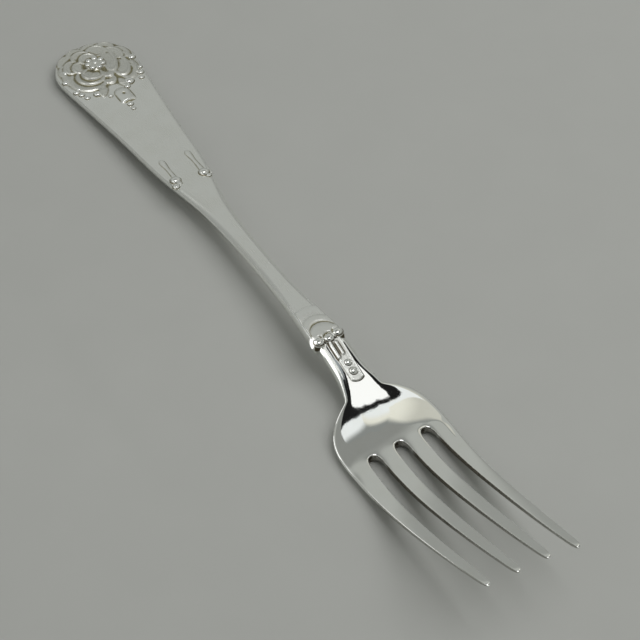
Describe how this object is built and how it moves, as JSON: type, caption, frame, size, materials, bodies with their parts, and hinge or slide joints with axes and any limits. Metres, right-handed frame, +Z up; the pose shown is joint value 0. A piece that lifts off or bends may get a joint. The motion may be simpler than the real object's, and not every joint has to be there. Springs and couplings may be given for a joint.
{
  "type": "dessert fork",
  "caption": "Silver dessert fork with a relief rose and beads on a tapering handle, a beaded collar, a fluted neck and curved tines; lies on its heel and handle end.",
  "frame": {"origin": "middle of the fork's length and width, on the plane it rests on", "axes": "+X along the fork toward the tine tips, +Y toward its left edge, +Z up from the table"},
  "size_m": [0.172, 0.022, 0.0136],
  "materials": {
    "silver": "polished silver with fine wear",
    "silver_relief": "polished silver with tarnish in the recesses"
  },
  "bodies": {
    "root": {"handle": "silver", "rose_heart": "silver_relief", "rose_seeds": "silver_relief", "rose_inner_petals": "silver_relief", "rose_outer_petals": "silver_relief", "rose_leaves": "silver_relief", "border_beads": "silver_relief", "bud_pendant": "silver_relief", "pendant_beads": "silver_relief", "drop_beads": "silver_relief", "drop_stems": "silver_relief", "collar_shell": "silver_relief", "collar_beads": "silver_relief", "neck": "silver", "neck_panel": "silver_relief", "neck_beads": "silver_relief", "head": "silver", "tine_outer_left": "silver", "tine_inner_left": "silver", "tine_inner_right": "silver", "tine_outer_right": "silver"}
  },
  "joints": []
}
